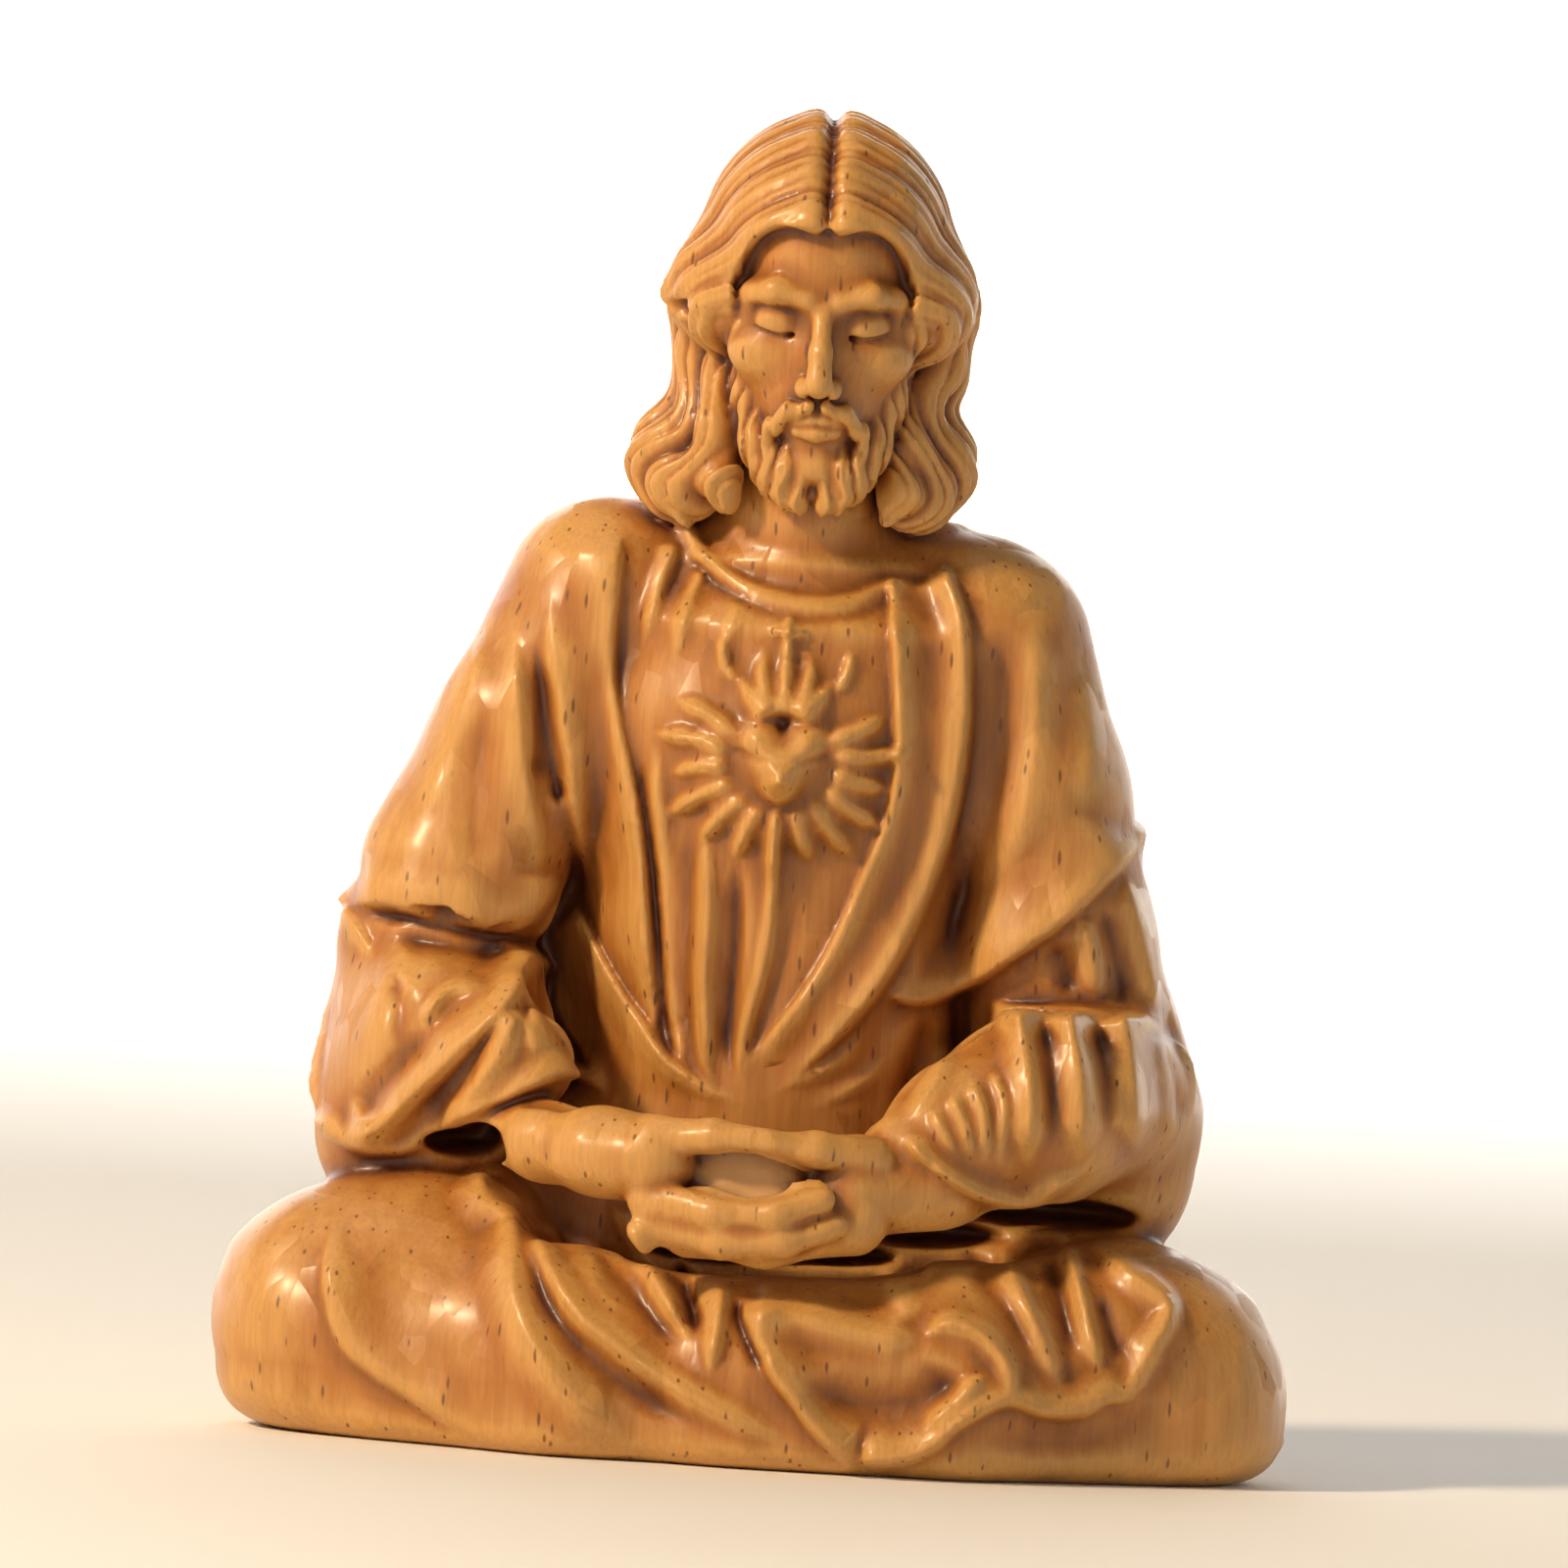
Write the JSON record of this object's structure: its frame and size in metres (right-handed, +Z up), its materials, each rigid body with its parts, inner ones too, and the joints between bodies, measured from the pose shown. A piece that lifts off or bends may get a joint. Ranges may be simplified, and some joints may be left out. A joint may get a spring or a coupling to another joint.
{
  "type": "jesus statue",
  "caption": "Carved wooden devotional figure, seated cross-legged with joined hands in the lap, in robe and mantle with a flaming heart on the breast. Stands on its flat underside.",
  "frame": {"origin": "centre of the bounding box, on the flat underside", "axes": "+Z up, -Y the way the figure faces, +X towards the figure's left hand"},
  "size_m": [0.116, 0.072, 0.1448],
  "materials": {
    "varnished_beech": "honey varnish, semi-gloss"
  },
  "bodies": {
    "root": {"statue": "varnished_beech"}
  },
  "joints": []
}
